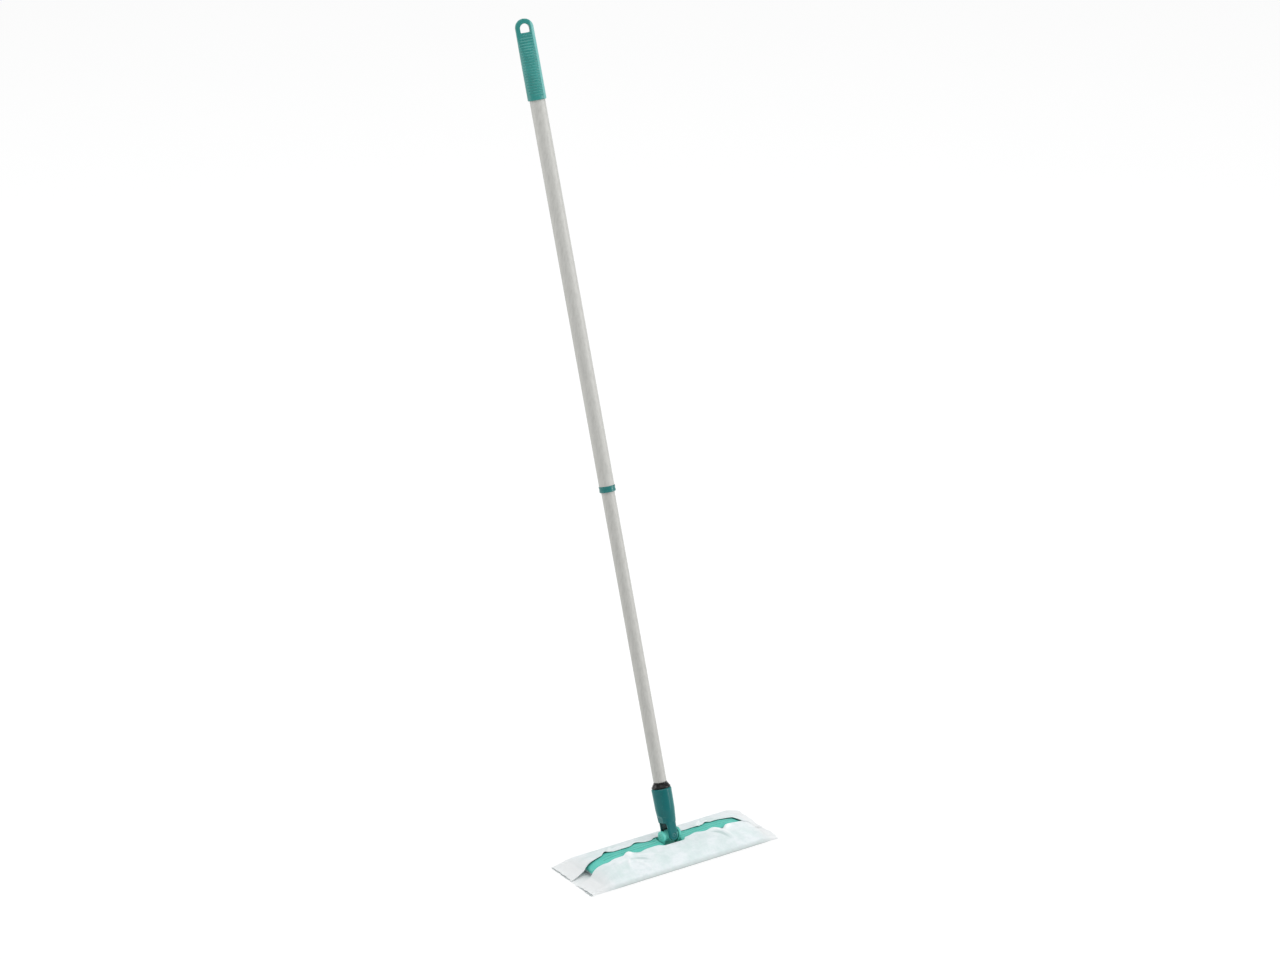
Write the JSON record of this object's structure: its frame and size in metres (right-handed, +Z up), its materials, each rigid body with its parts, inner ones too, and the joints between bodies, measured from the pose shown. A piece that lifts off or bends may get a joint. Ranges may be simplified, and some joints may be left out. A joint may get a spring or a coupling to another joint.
{
  "type": "flat mop",
  "caption": "Flat mop: rectangular head wrapped in a disposable cloth, two-axis tilting joint and a twist-lock telescopic handle with a hanging eye.",
  "frame": {"origin": "on the floor, on the cloth's underside, straight below the centre of the joint", "axes": "+Z up, +X along the head to its right end, the handle leans back towards +Y"},
  "size_m": [0.318, 0.4246, 1.1366],
  "materials": {
    "plate_plastic": "semi-gloss moulded",
    "pad_foam": "closed-cell foam",
    "cloth_fabric": "soft non-woven",
    "gripper_rubber": "soft matte",
    "pin_plastic": "moulded",
    "socket_plastic": "glossy",
    "adapter_plastic": "glossy",
    "painted_tube": "satin powder coat",
    "lock_nylon": "moulded",
    "grip_plastic": "ribbed moulded"
  },
  "bodies": {
    "head": {"head_plate": "plate_plastic", "sole_pad": "pad_foam", "cleaning_cloth": "cloth_fabric", "cloth_gripper_front_left": "gripper_rubber", "cloth_gripper_front_right": "gripper_rubber", "cloth_gripper_back_left": "gripper_rubber", "cloth_gripper_back_right": "gripper_rubber"},
    "knuckle": {"knuckle_block": "plate_plastic", "tilt_pin_left": "pin_plastic", "tilt_pin_right": "pin_plastic", "swing_pin_front": "pin_plastic", "swing_pin_back": "pin_plastic"},
    "lower_handle": {"joint_socket": "socket_plastic", "tube_adapter": "adapter_plastic", "lower_tube": "painted_tube", "lock_plug": "lock_nylon", "lock_end_cap": "lock_nylon"},
    "lock_cam": {"lock_cam_ring": "lock_nylon"},
    "upper_handle": {"upper_tube": "painted_tube", "tube_collar": "socket_plastic", "grip": "grip_plastic"}
  },
  "joints": [
    {"name": "head_tilt", "type": "hinge", "parent": "head", "child": "knuckle", "pos_m": [0, 0, 0.0296], "axis": [-1, 0, 0], "range_deg": [-78.4, 41.6]},
    {"name": "head_swing", "type": "hinge", "parent": "knuckle", "child": "lower_handle", "pos_m": [0, 0, 0.0296], "axis": [0, 0.9489, -0.3156], "range_deg": [-45, 45]},
    {"name": "lock_twist", "type": "hinge", "parent": "lower_handle", "child": "lock_cam", "pos_m": [0, 0, 0.0296], "axis": [0, 0.3156, 0.9489], "range_deg": [0, 60]},
    {"name": "telescope", "type": "slide", "parent": "lock_cam", "child": "upper_handle", "axis": [0, 0.3156, 0.9489], "range_m": [-0.4, 0.13]}
  ]
}
